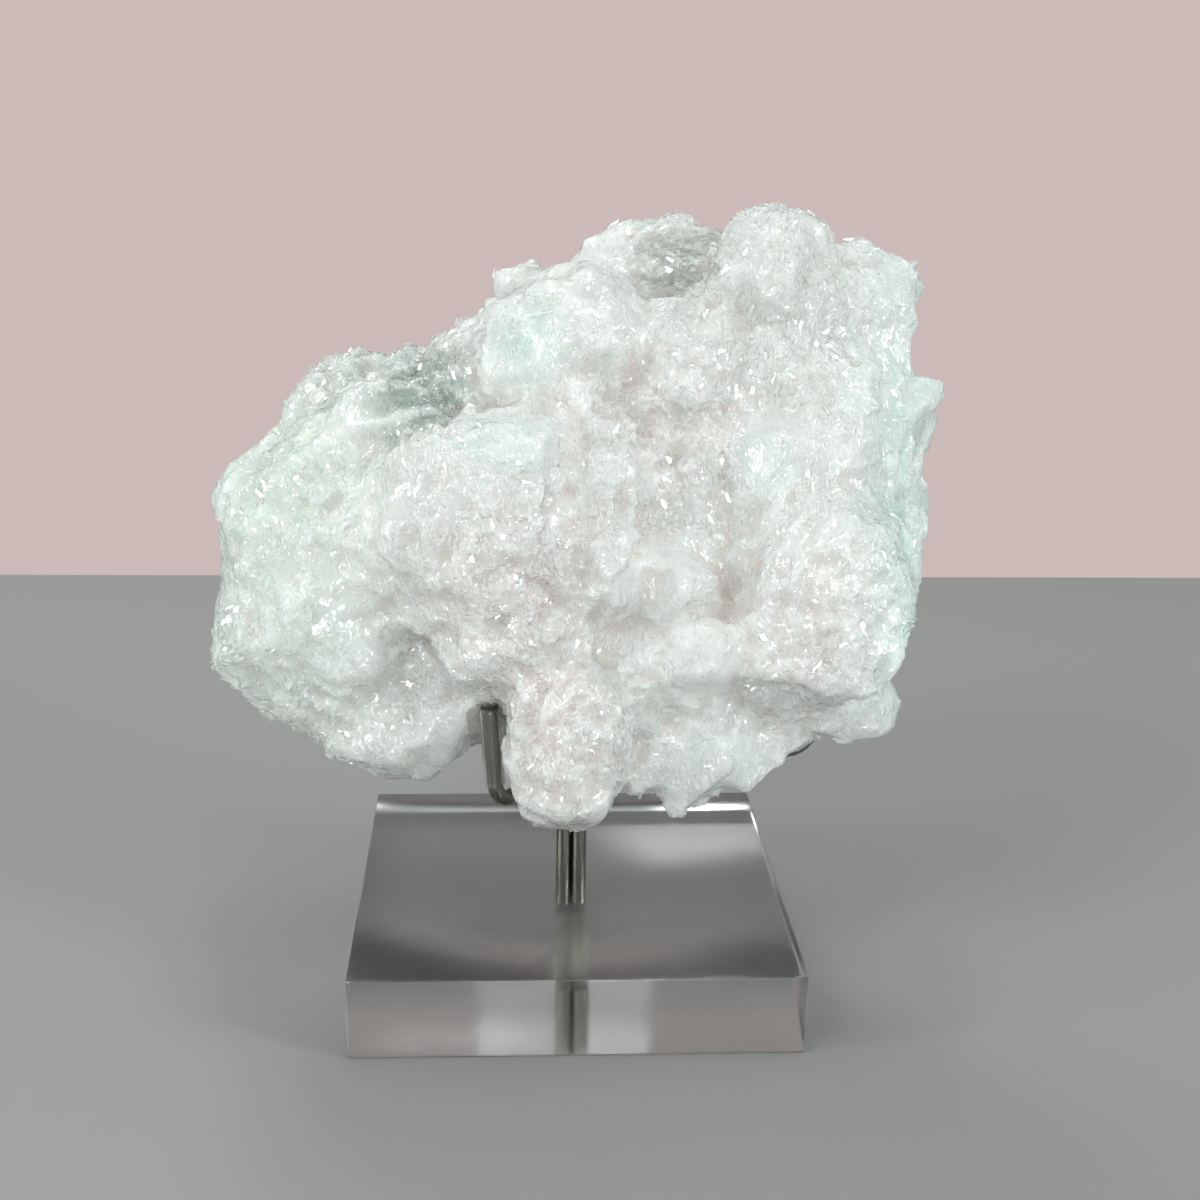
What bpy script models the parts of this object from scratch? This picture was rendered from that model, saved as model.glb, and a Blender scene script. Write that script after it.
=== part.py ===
"""Mangano calcite cluster held by three bent wires on a clear block.

Metres, +Z up. The origin is the middle of the block's underside. +X is to the
right and -Y is towards the viewer when the cluster is seen from its good side.
"""
import math

import bmesh
import bpy
import numpy as np
from mathutils import Matrix, Vector
from mathutils.kdtree import KDTree

MM = 0.001
GAP = 0.3 * MM

# Clear block
BLOCK_WIDTH = 80.0 * MM
BLOCK_HEIGHT = 15.0 * MM
BLOCK_EDGE = 0.5 * MM
BLOCK_EDGE_STEPS = 2
BORE_FLOOR = 1.5 * MM
BORE_SIDES = 32

# Blank label on the block's rear face
LABEL_WIDTH = 29.0 * MM
LABEL_HEIGHT = 12.0 * MM
LABEL_CORNER = 2.5 * MM
LABEL_THICKNESS = 0.3 * MM
LABEL_GAP = 0.05 * MM
LABEL_CORNER_STEPS = 4

# Three bent wires, bundled where they stand in the block
WIRE_DIAMETER = 2.8 * MM
WIRE_SPACING = WIRE_DIAMETER + 0.2 * MM
ARM_HEIGHT = 39.0 * MM
SHOULDER_RADIUS = 4.0 * MM
ELBOW_RADIUS = 4.5 * MM
SLEEVE_DIAMETER = 3.7 * MM
SLEEVE_LENGTH = 15.5 * MM
SLEEVE_TOP = 0.7 * MM
SLEEVE_PLAY = 0.1 * MM
SLEEVE_CLEARANCE = 0.7 * MM
SLEEVE_ROOM = 0.5 * MM
WIRE_SIDES = 16
ARC_STEPS = 6
SHARP_ANGLE = 40.0

# Each wire: where its leg stands in the bundle, then its elbow and its tip
WIRES = {
    "front_wire": {"leg": 210.0, "elbow": (-14.3, -19.0, 38.3), "tip": (-15.6, -19.0, 57.2)},
    "right_wire": {"leg": 330.0, "elbow": (46.4, 4.3, 39.6), "tip": (45.6, 2.7, 58.5)},
    "rear_wire": {"leg": 90.0, "elbow": (-21.0, 24.7, 39.0), "tip": (-21.5, 26.1, 58.0)},
}

# The cluster is set out as it is seen from the front and a little above: sight
# lines fan out from the eye, and a place is given by how far it lies across and
# up from the middle of the view, and by how far it stands forward of the legs.
EYE = Vector((-13.1, -300.0, 162.8)) * MM
MIDDLE = Vector((-3.0, 0.0, 86.3)) * MM
LOOK_DOWN = math.radians(17.0)
LOOK_ASIDE = math.radians(3.4)
LOOK_ROLL = math.radians(1.1)

# Cluster surface
CLUSTER_VOXEL = 0.9 * MM
CLUSTER_TRIANGLES = 7600

# How far the hollows between the lobes have grown shut
CLOSING_VOXEL = 2.0 * MM
CLOSING_STEPS = 24
CLOSING_SWELL = 0.2 * MM
SKIN_STEPS = 6

# Each lobe is grown by this much past the half sizes listed
GROWTH = 1.3 * MM
BLOCK_GROWTH = 0.8 * MM

# Crystals on the surface: those of one domain lie the same way
DOMAIN_SIZE = 15.0 * MM
CRYSTAL_LEAN = 0.55
CRYSTAL_JITTER = 0.10
LEAST_SQUARE = 0.4
SMOOTH_MARGIN = 1.05

# Seeds of the chance that shapes the lobes and the crystals
LOBE_SEED = 100
SMOOTH_SEED = 200
CRYSTAL_SEED = 7

# Coarse crystals: size, relief, height of the ledges between them
COARSE_CRYSTALS = (5.0 * MM, 0.8 * MM, 0.35 * MM)

# Rounded lobes: name, (across, up, forward), half sizes (wide, tall, deep),
# (roll, nod, turn) in degrees, squareness
LOBES = [
    # the body that carries the rest
    ("heart", (-2, -6, 4), (31, 27, 20), (10, 0, 0), 2.2),
    ("left body", (-44, -8, 2), (20, 27, 18), (14, 0, 0), 2.2),
    ("left shoulder", (-37, 8.5, -4), (26, 13, 18), (39, 0, 0), 2.2),
    ("upper slope", (-3, 27.5, -6), (29, 12, 17), (27, 0, 0), 2.2),
    ("upper right body", (37, 33.5, -6), (23.5, 17.5, 17), (-10, 0, 0), 2.2),
    ("top body", (18, 41.5, -10), (17, 10.8, 11.5), (5, 0, 0), 2.2),
    ("right body", (42.5, 10, 2), (18.3, 25, 19), (0, 0, 0), 2.2),
    ("right foot body", (45.5, -18, 12.5), (14.8, 17, 13.5), (0, 0, 0), 2.2),
    ("lower body", (4, -26.2, 1), (29, 16.5, 17), (-5, 0, 0), 2.2),
    ("lower right body", (26, -26, 4), (21, 15, 18), (0, 0, 0), 2.2),
    ("lower left body", (-32, -29, 1), (19, 13, 18), (-5, 0, 0), 2.2),
    # left side
    ("left brow", (-48, 3, 7), (13, 12, 12.5), (20, 0, -20), 2.2),
    ("left middle", (-46, -6, 8), (13, 13, 12), (0, 0, -10), 2.2),
    ("left cheek", (-43, -16, 8), (14, 14, 13), (10, 0, -10), 2.2),
    ("left jowl", (-47, -26, 5), (10, 12, 12), (20, 0, -20), 2.2),
    ("left inner", (-35, -4, 11), (10, 15, 11), (0, 0, 10), 2.2),
    ("grey ridge", (-40, 22, -10), (10, 4, 10), (37, 0, 0), 2.4),
    # middle
    ("great lobe", (-14.5, -2.5, 17), (17.5, 18, 17), (0, -5, 0), 2.9),
    ("great lobe skirt", (-7, -22, 17), (15.5, 6, 13), (14, 0, 0), 2.3),
    ("upper lobe", (2, 32, 3), (14, 11, 13), (25, 15, 0), 2.3),
    ("left slope", (-24, -27, 7), (11.5, 16, 9.8), (-8, 0, 0), 2.2),
    ("bottom lobe", (0.8, -42.6, 28.5), (9.8, 13.2, 10), (0, 0, 0), 2.6),
    ("bottom neck", (2, -32, 22), (10, 8, 11), (0, 0, 0), 2.4),
    ("lower left lumps", (-31, -38.5, 7), (13, 7, 11), (-6, 0, 0), 2.2),
    ("stem lobe", (8, -8.5, 20), (5.5, 9, 9), (0, 0, 0), 2.4),
    ("inner lobe", (20.5, -10.5, 17), (8.5, 7, 9), (15, 0, 0), 2.4),
    ("lower lobe", (19.5, -25.5, 16), (12.5, 9, 11), (0, 0, 0), 2.3),
    ("inner ridge", (7.5, 6, 15), (6.5, 9, 9), (0, 0, 0), 2.3),
    ("inner step", (18, 20, 4), (10, 8, 10), (20, 0, 0), 2.3),
    ("inner wall", (25, 9, 9), (8.5, 12, 9), (0, 0, 0), 2.2),
    ("brow wall", (-2, 18.5, 8), (13, 8, 9), (10, 0, 0), 2.2),
    ("tooth root", (24, -36, 11), (13, 10, 10), (0, 0, 0), 2.3),
    # right side
    ("top right plate", (38.5, 45.5, 2), (9.5, 10.2, 10), (-20, 10, -10), 2.8),
    ("upper right lump", (35, 25, 4), (9, 8, 11), (0, 0, 0), 2.3),
    ("upper right shelf", (45, 28, 3), (10, 7, 11), (-10, 20, 0), 2.4),
    ("right shelf", (51, 20, 6), (8, 10, 11), (0, 0, 0), 2.4),
    ("under plate lump", (22, 24.5, 8), (7, 7, 9), (0, 0, 0), 2.3),
    ("great plate", (46.5, -14.5, 17), (14.6, 20, 13.5), (-8, 0, -8), 2.5),
    ("plate foot", (45.8, -34, 14), (6, 4, 7), (0, 0, 0), 2.3),
    # back
    ("back left", (-38, -4, -14), (20, 22, 10), (20, 0, 0), 3.2),
    ("back middle", (2, 4, -17), (30, 24, 9), (0, 0, 0), 3.2),
    ("back right", (38, 18, -16), (20, 24, 9), (-15, 0, 0), 3.2),
    ("back low", (-8, -22, -14), (24, 12, 9), (5, 0, 0), 3.2),
]

# Smooth crystals that are named one by one: name, (across, up, forward), half
# sizes, (roll, nod, turn), squareness
SMOOTH_LOBES = [
    ("pale round crystal", (-38, -24, 17), (6, 5, 6), (0, 0, 0), 2.4),
    ("ball crystal", (55.3, -33.8, 14), (4.9, 5.0, 5), (0, 0, 0), 2.6),
    ("smooth pale face", (37.3, 10.7, 12.5), (5.5, 6.2, 8), (10, 10, 0), 3.6),
    ("smooth lower lobe", (25.5, -24.5, 19), (6, 6.4, 9), (0, 0, 0), 2.6),
    ("backing plane", (35, -34, 5), (11, 7, 9), (-20, 0, 0), 3.0),
    ("ledge", (-30.5, 14, 6), (10.5, 5.2, 10), (8, 30, 0), 3.0),
]

# Cleavage blocks with flat faces: name, (across, up, forward), half edges,
# (roll, nod, turn)
BLOCKS = [
    ("great lobe cap", (-10.5, 10.5, 22), (8.5, 5.5, 6), (0, 50, 0)),
    ("upper lobe face", (-5, 30, 9), (5.6, 7.4, 6), (12, 15, -25)),
    ("pale block", (8.4, 46, -7), (3.6, 2.8, 4), (0, 25, 0)),
    ("glitter block", (-7.5, 40, -8), (3.4, 2.6, 4), (20, 10, 0)),
    ("hollow crystal", (-25, 26, -4), (3.2, 2.6, 4), (25, 20, 10)),
    ("hollow crystal left", (-29, 25, -3), (2.2, 2.4, 3), (-10, 10, 0)),
    ("hollow crystal right", (-21, 24.5, -1), (2.4, 2, 3), (50, 10, -10)),
    ("hex plate", (22.5, 34, 7), (6, 4.2, 4), (0, 20, 0)),
    ("inner crystal", (12.2, 8.5, 15.5), (3.4, 5.4, 6), (22, 15, -25)),
    ("bright cleavage", (60, 17.5, 2), (5.2, 4.2, 7), (-25, 35, 0)),
    ("cyan crystal", (55.5, 9.8, 5), (4.4, 6, 8), (10, 0, 25)),
    ("edge crystal", (62, 4, -3), (2.4, 3.2, 5), (20, 0, 20)),
    ("right edge", (58.5, -5, 0), (2.4, 6, 8), (4, 0, 30)),
    ("beak", (54.5, 40.5, -6), (7, 4.2, 7), (-28, 20, 0)),
    ("under beak", (55.5, 30, -4), (4, 7, 9), (5, 0, 20)),
    ("left tooth", (17, -41, 17), (4.5, 6.2, 6), (25, -10, 0)),
    ("middle tooth", (24.5, -42.5, 17), (6.2, 6.4, 7), (40, -10, -10)),
    ("right tooth", (30.5, -41, 15), (6, 6.2, 7), (-32, -10, 20)),
]

COLOURS = {
    "calcite": ((0.86, 0.80, 0.79), 0.35, 0.0),
    "clear": ((0.93, 0.95, 0.95), 0.05, 0.0),
    "steel": ((0.52, 0.51, 0.48), 0.30, 1.0),
    "silicone": ((0.80, 0.80, 0.78), 0.20, 0.0),
    "label": ((0.90, 0.90, 0.89), 0.60, 0.0),
}


def material(name):
    """A plain finish for one kind of part."""
    colour, roughness, metallic = COLOURS[name]
    made = bpy.data.materials.new(name)
    made.use_nodes = True
    shader = made.node_tree.nodes["Principled BSDF"]
    shader.inputs["Base Color"].default_value = (*colour, 1.0)
    shader.inputs["Roughness"].default_value = roughness
    shader.inputs["Metallic"].default_value = metallic
    return made


def add_object(name, mesh, finish):
    """Put a mesh in the scene under its own name."""
    mesh.materials.append(finish)
    made = bpy.data.objects.new(name, mesh)
    bpy.context.scene.collection.objects.link(made)
    return made


def sight_axes():
    """Right, up and ahead of the eye that the cluster is set out from."""
    ahead = Vector((
        math.sin(LOOK_ASIDE) * math.cos(LOOK_DOWN),
        math.cos(LOOK_ASIDE) * math.cos(LOOK_DOWN),
        -math.sin(LOOK_DOWN),
    ))
    level = Vector((math.cos(LOOK_ASIDE), -math.sin(LOOK_ASIDE), 0.0))
    upright = level.cross(ahead)
    right = math.cos(LOOK_ROLL) * level + math.sin(LOOK_ROLL) * upright
    up = math.cos(LOOK_ROLL) * upright - math.sin(LOOK_ROLL) * level
    return right, up, ahead


RIGHT, UP, AHEAD = sight_axes()


def place(across, up, forward):
    """A place on its sight line, and how much smaller things are made there."""
    sight = MIDDLE + across * MM * RIGHT + up * MM * UP - EYE
    reach = (-forward * MM - EYE.y) / sight.y
    return EYE + reach * sight, reach


def facing(roll, nod, turn):
    """Axes of a form: across, up and out of its front face, as columns."""
    upright = Matrix((RIGHT, UP, -AHEAD)).transposed()
    spin = Matrix.Rotation(math.radians(turn), 3, "Y")
    lean = Matrix.Rotation(-math.radians(nod), 3, "X")
    twist = Matrix.Rotation(math.radians(roll), 3, "Z")
    return upright @ spin @ lean @ twist


def ball_points(level):
    """Vertices and triangles of a ball of radius one."""
    sphere = bmesh.new()
    bmesh.ops.create_icosphere(sphere, subdivisions=level, radius=1.0)
    points = np.array([vertex.co[:] for vertex in sphere.verts])
    faces = [[vertex.index for vertex in face.verts] for face in sphere.faces]
    sphere.free()
    return points, faces


BALL_POINTS, BALL_FACES = ball_points(4)
FLAT_COUNT = 16
FLAT_DEPTH = (0.80, 0.96)
SWELL_COUNT = 5
SWELL_HEIGHT = 0.035
SWELL_TURNS = 2.2


def lobe(row, seed):
    """A rounded, squarish lobe that swells unevenly, with flats broken on it."""
    _, (across, up, forward), sizes, angles, squareness = row
    centre, shrink = place(across, up, forward)
    chance = np.random.default_rng(seed)
    length = (np.abs(BALL_POINTS) ** squareness).sum(axis=1) ** (1.0 / squareness)
    points = BALL_POINTS / length[:, None]
    swell = np.ones(len(points))
    for _ in range(SWELL_COUNT):
        way = chance.normal(scale=SWELL_TURNS, size=3)
        swell += SWELL_HEIGHT * np.sin(points @ way + chance.uniform(0, 2 * math.pi))
    points = points * swell[:, None]
    for _ in range(FLAT_COUNT):
        normal = chance.normal(size=3)
        normal /= np.linalg.norm(normal)
        reach = points @ normal
        limit = reach.max() * chance.uniform(*FLAT_DEPTH)
        points = points - np.outer(np.maximum(reach - limit, 0.0), normal)
    points = points * (np.array(sizes) * MM * shrink + GROWTH)
    points = points @ np.array(facing(*angles)).T + np.array(centre)
    return points, BALL_FACES


BLOCK_FACES = [(0, 2, 3, 1), (4, 5, 7, 6), (0, 1, 5, 4), (2, 6, 7, 3), (0, 4, 6, 2), (1, 3, 7, 5)]
BLOCK_SKEW = 0.22
BLOCK_SQUARENESS = 8.0


def block(row):
    """A cleavage block: six flat faces, each pair of edges leaning a little."""
    _, (across, up, forward), sizes, angles = row
    centre, shrink = place(across, up, forward)
    corners = np.array([(x, y, z) for z in (-1, 1) for y in (-1, 1) for x in (-1, 1)], float)
    corners[:, 0] += BLOCK_SKEW * corners[:, 1]
    corners[:, 1] += BLOCK_SKEW * corners[:, 2]
    points = corners * (np.array(sizes) * MM * shrink + BLOCK_GROWTH)
    points = points @ np.array(facing(*angles)).T + np.array(centre)
    return points, BLOCK_FACES


def lobe_reach(points, row, growth=GROWTH):
    """How far out points lie in a lobe: 1 is its surface, less is inside."""
    _, (across, up, forward), sizes, angles, squareness = row
    centre, shrink = place(across, up, forward)
    local = (points - np.array(centre)) @ np.array(facing(*angles))
    local = np.abs(local) / (np.array(sizes) * MM * shrink + growth)
    return (local ** squareness).sum(axis=1) ** (1.0 / squareness)


def smooth_reach(points):
    """How near points lie to the crystals that stay smooth: below 1 is on them."""
    reach = np.full(len(points), np.inf)
    for row in SMOOTH_LOBES:
        reach = np.minimum(reach, lobe_reach(points, row))
    for name, at, sizes, angles in BLOCKS:
        row = (name, at, sizes, angles, BLOCK_SQUARENESS)
        reach = np.minimum(reach, lobe_reach(points, row, BLOCK_GROWTH))
    return reach


def nearest(points, seeds):
    """For each point, which seed is the nearest."""
    tree = KDTree(len(seeds))
    for number, seed in enumerate(seeds):
        tree.insert(seed, number)
    tree.balance()
    return np.array([tree.find(point)[1] for point in points])


def crystal_faces(points, normals, area, crystals, seed):
    """Move each patch of the surface onto its own flat crystal face."""
    size, relief, ledge_height = crystals
    chance = np.random.default_rng(seed)
    seeds = chance.choice(len(points), int(area / size ** 2), replace=False)
    middles = chance.choice(len(points), int(area / DOMAIN_SIZE ** 2), replace=False)
    lattices = np.linalg.qr(chance.normal(size=(len(middles), 3, 3)))[0]
    lattice = lattices[nearest(points[seeds], points[middles])]
    outward = normals[seeds]
    along = np.einsum("nij,nj->ni", lattice, outward)
    best = np.abs(along).argmax(axis=1)
    rows = np.arange(len(seeds))
    face = lattice[rows, best] * np.sign(along[rows, best])[:, None]
    face = (1 - CRYSTAL_LEAN) * outward + CRYSTAL_LEAN * face
    face += chance.normal(scale=CRYSTAL_JITTER, size=face.shape)
    face /= np.linalg.norm(face, axis=1)[:, None]
    ledge = chance.uniform(-0.5, 0.5, size=len(seeds)) * ledge_height
    owner = nearest(points, points[seeds])
    square = (face[owner] * normals).sum(axis=1).clip(LEAST_SQUARE)
    height = ((points[seeds][owner] - points) * face[owner]).sum(axis=1) / square
    height = (height + ledge[owner]).clip(-relief, relief)
    height[smooth_reach(points) < SMOOTH_MARGIN] = 0.0
    return points + normals * height[:, None]


def clear_of_sleeves(points):
    """Points that would touch a sleeve are moved straight away from it."""
    for plan in WIRES.values():
        low = np.array(plan["elbow"]) * MM
        run = np.array(plan["tip"]) * MM - low
        length = np.linalg.norm(run)
        along = ((points - low) @ run / length).clip(0.0, length + SLEEVE_TOP)
        away = points - low - np.outer(along, run / length)
        distance = np.linalg.norm(away, axis=1)
        push = (SLEEVE_DIAMETER / 2 + SLEEVE_CLEARANCE - distance).clip(0.0)
        points = points + away * (push / distance)[:, None]
    return points


def cluster_shells():
    """Every lobe and block of the cluster, as shells that run into each other."""
    shells = [lobe(row, LOBE_SEED + number) for number, row in enumerate(LOBES)]
    shells.extend(lobe(row, SMOOTH_SEED + number) for number, row in enumerate(SMOOTH_LOBES))
    shells.extend(block(row) for row in BLOCKS)
    return shells


def joined_mesh(name, shells):
    """One mesh that holds all the shells."""
    points = []
    faces = []
    for shell_points, shell_faces in shells:
        start = len(points)
        points.extend(tuple(point) for point in shell_points)
        faces.extend(tuple(start + corner for corner in face) for face in shell_faces)
    mesh = bpy.data.meshes.new(name)
    mesh.from_pydata(points, [], faces)
    mesh.validate()
    return mesh


def evaluated(made):
    """What an object's modifiers make of it: points, outward directions, faces and area."""
    mesh = made.evaluated_get(bpy.context.evaluated_depsgraph_get()).data
    points = np.array([vertex.co[:] for vertex in mesh.vertices])
    normals = np.array([vertex.normal[:] for vertex in mesh.vertices])
    faces = [tuple(face.vertices) for face in mesh.polygons]
    return points, normals, faces, sum(face.area for face in mesh.polygons)


def skin(shells, voxel, smoothing):
    """The shells run together into one skin, and the directions it faces once softened."""
    soft = bpy.data.objects.new("skin", joined_mesh("skin", shells))
    bpy.context.scene.collection.objects.link(soft)
    fuse = soft.modifiers.new("fuse", "REMESH")
    fuse.mode = "VOXEL"
    fuse.voxel_size = voxel
    smooth = soft.modifiers.new("smooth", "SMOOTH")
    smooth.factor = 0.5
    smooth.iterations = smoothing
    soft_points, normals, faces, area = evaluated(soft)
    smooth.iterations = 1
    points = evaluated(soft)[0]
    bpy.data.objects.remove(soft, do_unlink=True)
    return points, soft_points, normals, faces, area


def calcite_cluster(finish):
    """The crystals grown together as one solid."""
    shells = cluster_shells()
    _, points, normals, faces, _ = skin(shells, CLOSING_VOXEL, CLOSING_STEPS)
    shells.append((points + normals * CLOSING_SWELL, faces))
    points, _, normals, faces, area = skin(shells, CLUSTER_VOXEL, SKIN_STEPS)
    points = clear_of_sleeves(crystal_faces(points, normals, area, COARSE_CRYSTALS, CRYSTAL_SEED))
    cluster = add_object("calcite_cluster", joined_mesh("calcite_cluster", [(points, faces)]), finish)
    fuse = cluster.modifiers.new("fuse", "REMESH")
    fuse.mode = "VOXEL"
    fuse.voxel_size = CLUSTER_VOXEL
    fuse.adaptivity = 0.0
    made = cluster.evaluated_get(bpy.context.evaluated_depsgraph_get()).data
    triangles = sum(len(face.vertices) - 2 for face in made.polygons)
    thin = cluster.modifiers.new("thin", "DECIMATE")
    thin.ratio = CLUSTER_TRIANGLES / triangles
    for name, plan in WIRES.items():
        cut = cluster.modifiers.new(name + " room", "BOOLEAN")
        cut.operation = "DIFFERENCE"
        cut.object = sleeve_room(name + "_room", plan, finish)
    return cluster


def sleeve_room(name, plan, finish):
    """A cutter for the room that the stone leaves round one sleeve."""
    tip = Vector(plan["tip"]) * MM
    upright = (tip - Vector(plan["elbow"]) * MM).normalized()
    top = tip + upright * (SLEEVE_TOP + SLEEVE_ROOM)
    bottom = top - upright * (SLEEVE_LENGTH + 2 * SLEEVE_ROOM)
    room = tube(name, [bottom, top], SLEEVE_DIAMETER / 2 + SLEEVE_ROOM, finish)
    room.hide_render = True
    room.display_type = "WIRE"
    return room


def clear_block(finish):
    """The block, with a blind bore for the bundled legs."""
    shape = bmesh.new()
    bmesh.ops.create_cube(shape, size=1.0)
    bmesh.ops.scale(shape, vec=(BLOCK_WIDTH, BLOCK_WIDTH, BLOCK_HEIGHT), verts=shape.verts)
    bmesh.ops.translate(shape, vec=(0, 0, BLOCK_HEIGHT / 2), verts=shape.verts)
    mesh = bpy.data.meshes.new("clear_block")
    shape.to_mesh(mesh)
    shape.free()
    made = add_object("clear_block", mesh, finish)
    edge = made.modifiers.new("edge", "BEVEL")
    edge.width = BLOCK_EDGE
    edge.segments = BLOCK_EDGE_STEPS
    bore_shape = bmesh.new()
    bmesh.ops.create_cone(
        bore_shape, cap_ends=True, segments=BORE_SIDES, radius1=bore_radius(), radius2=bore_radius(),
        depth=2 * (BLOCK_HEIGHT - BORE_FLOOR),
    )
    bore_mesh = bpy.data.meshes.new("bore_cutter")
    bore_shape.to_mesh(bore_mesh)
    bore_shape.free()
    bore = add_object("bore_cutter", bore_mesh, finish)
    bore.location.z = BLOCK_HEIGHT
    bore.hide_render = True
    bore.display_type = "WIRE"
    cut = made.modifiers.new("bore", "BOOLEAN")
    cut.operation = "DIFFERENCE"
    cut.object = bore
    return made


def bundle_radius():
    """How far each leg's axis stands from the middle of the bundle."""
    return WIRE_SPACING / math.sqrt(3.0)


def bore_radius():
    """The bore clears the bundle by the gap."""
    return bundle_radius() + WIRE_DIAMETER / 2 + GAP


def rounded_route(corners, radii):
    """Points along straight runs joined by round bends."""
    route = [corners[0]]
    for before, corner, after, radius in zip(corners, corners[1:], corners[2:], radii):
        back = (before - corner).normalized()
        on = (after - corner).normalized()
        half = back.angle(on) / 2
        cut = radius / math.tan(half)
        middle = corner + (back + on).normalized() * radius / math.sin(half)
        start = corner + back * cut - middle
        end = corner + on * cut - middle
        swing = start.angle(end)
        axis = start.cross(end).normalized()
        for step in range(ARC_STEPS + 1):
            turned = Matrix.Rotation(swing * step / ARC_STEPS, 3, axis) @ start
            route.append(middle + turned)
    route.append(corners[-1])
    return route


def tube(name, route, radius, finish, bore=0.0):
    """A round bar, or a pipe where it has a bore, swept along a route."""
    shape = bmesh.new()
    loops = []
    normal = None
    count = len(route)
    for number, point in enumerate(route):
        ahead = (route[min(number + 1, count - 1)] - route[max(number - 1, 0)]).normalized()
        if normal is None:
            normal = ahead.orthogonal().normalized()
        normal = (normal - ahead * normal.dot(ahead)).normalized()
        side = ahead.cross(normal)
        ring = []
        for step in range(WIRE_SIDES):
            angle = 2 * math.pi * step / WIRE_SIDES
            ring.append((math.cos(angle) * normal + math.sin(angle) * side, point))
        loops.append(ring)
    outer = [[shape.verts.new(point + way * radius) for way, point in ring] for ring in loops]
    inner = []
    if bore:
        inner = [[shape.verts.new(point + way * bore) for way, point in ring] for ring in loops]
    for wall, flip in ((outer, False), (inner, True)):
        for low, high in zip(wall, wall[1:]):
            for step in range(WIRE_SIDES):
                nxt = (step + 1) % WIRE_SIDES
                corners = (low[step], low[nxt], high[nxt], high[step])
                shape.faces.new(corners[::-1] if flip else corners)
    for end in (0, -1):
        rim = outer[end]
        if bore:
            hole = inner[end]
            for step in range(WIRE_SIDES):
                nxt = (step + 1) % WIRE_SIDES
                shape.faces.new((rim[step], rim[nxt], hole[nxt], hole[step]))
        else:
            shape.faces.new(rim)
    bmesh.ops.recalc_face_normals(shape, faces=shape.faces)
    mesh = bpy.data.meshes.new(name)
    shape.to_mesh(mesh)
    shape.free()
    mesh.shade_smooth()
    mesh.set_sharp_from_angle(angle=math.radians(SHARP_ANGLE))
    return add_object(name, mesh, finish)


def wire_corners(plan):
    """Foot, shoulder, elbow and tip of one bent wire."""
    angle = math.radians(plan["leg"])
    stand = Vector((math.cos(angle), math.sin(angle), 0.0)) * bundle_radius()
    foot = stand + Vector((0, 0, BORE_FLOOR + GAP))
    shoulder = stand + Vector((0, 0, ARM_HEIGHT))
    return [foot, shoulder, Vector(plan["elbow"]) * MM, Vector(plan["tip"]) * MM]


def bent_wires(steel, silicone):
    """The three wires, and the clear sleeve on each upright end."""
    for name, plan in WIRES.items():
        corners = wire_corners(plan)
        tube(name, rounded_route(corners, (SHOULDER_RADIUS, ELBOW_RADIUS)), WIRE_DIAMETER / 2, steel)
        elbow, tip = corners[2], corners[3]
        upright = (tip - elbow).normalized()
        top = tip + upright * SLEEVE_TOP
        bottom = top - upright * SLEEVE_LENGTH
        sleeve_name = name.replace("wire", "sleeve")
        sleeve_bore = WIRE_DIAMETER / 2 + SLEEVE_PLAY
        tube(sleeve_name, [bottom, top], SLEEVE_DIAMETER / 2, silicone, bore=sleeve_bore)


def blank_label(finish):
    """A rounded label with nothing on it, flat against the block's rear face."""
    shape = bmesh.new()
    outline = []
    half_width = LABEL_WIDTH / 2 - LABEL_CORNER
    half_height = LABEL_HEIGHT / 2 - LABEL_CORNER
    for quarter, (side, level) in enumerate(((1, 1), (-1, 1), (-1, -1), (1, -1))):
        for step in range(LABEL_CORNER_STEPS + 1):
            angle = math.pi / 2 * (quarter + step / LABEL_CORNER_STEPS)
            outline.append((
                side * half_width + LABEL_CORNER * math.cos(angle),
                level * half_height + LABEL_CORNER * math.sin(angle),
            ))
    rear = BLOCK_WIDTH / 2 + LABEL_GAP
    middle = BLOCK_HEIGHT / 2
    face = shape.faces.new([shape.verts.new((x, rear, middle + z)) for x, z in outline])
    grown = bmesh.ops.extrude_face_region(shape, geom=[face])
    moved = [item for item in grown["geom"] if isinstance(item, bmesh.types.BMVert)]
    bmesh.ops.translate(shape, vec=(0, LABEL_THICKNESS, 0), verts=moved)
    bmesh.ops.recalc_face_normals(shape, faces=shape.faces)
    mesh = bpy.data.meshes.new("blank_label")
    shape.to_mesh(mesh)
    shape.free()
    return add_object("blank_label", mesh, finish)


def clear_scene():
    """Start from nothing."""
    for item in list(bpy.data.objects):
        bpy.data.objects.remove(item, do_unlink=True)


def main():
    clear_scene()
    finishes = {name: material(name) for name in COLOURS}
    calcite_cluster(finishes["calcite"])
    clear_block(finishes["clear"])
    bent_wires(finishes["steel"], finishes["silicone"])
    blank_label(finishes["label"])


main()
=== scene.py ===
"""Looks of the mangano calcite cluster on its clear three-wire stand. Metres, +Z up."""
import math

import bmesh
import bpy
import numpy as np
from mathutils import Matrix, Vector
from mathutils.kdtree import KDTree


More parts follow.
